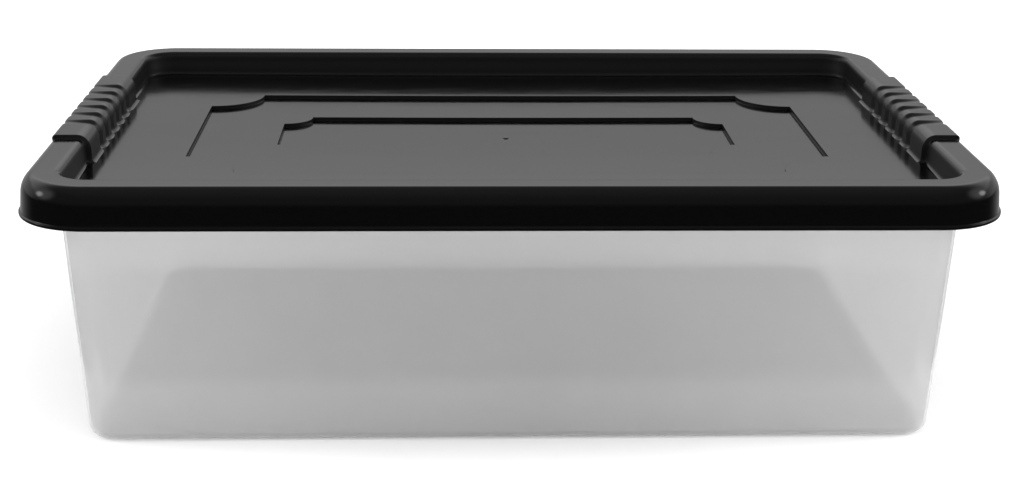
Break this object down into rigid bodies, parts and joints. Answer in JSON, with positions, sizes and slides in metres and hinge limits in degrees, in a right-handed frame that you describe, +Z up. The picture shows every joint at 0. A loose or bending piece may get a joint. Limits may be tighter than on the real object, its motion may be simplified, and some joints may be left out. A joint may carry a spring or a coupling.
{
  "type": "under bed box",
  "caption": "Low rectangular storage box: frosted clear tub with a flanged mouth, and a lift-off black lid with a recessed stepped panel and ribbed grips at both ends.",
  "frame": {"origin": "centre of the base, on the surface the box stands on", "axes": "+X along the length, towards one grip; +Y across the width, to the back; +Z up, out of the lid"},
  "size_m": [0.6, 0.4, 0.178],
  "materials": {
    "frosted_pp": "natural polypropylene, translucent, fine satin inside and out",
    "black_pp": "black polypropylene, moulded gloss"
  },
  "bodies": {
    "tub": {"tub": "frosted_pp"},
    "lid": {"lid": "black_pp"}
  },
  "joints": [
    {"name": "lid_lift", "type": "slide", "parent": "tub", "child": "lid", "axis": [0, 0, 1], "range_m": [0, 0.25]}
  ]
}
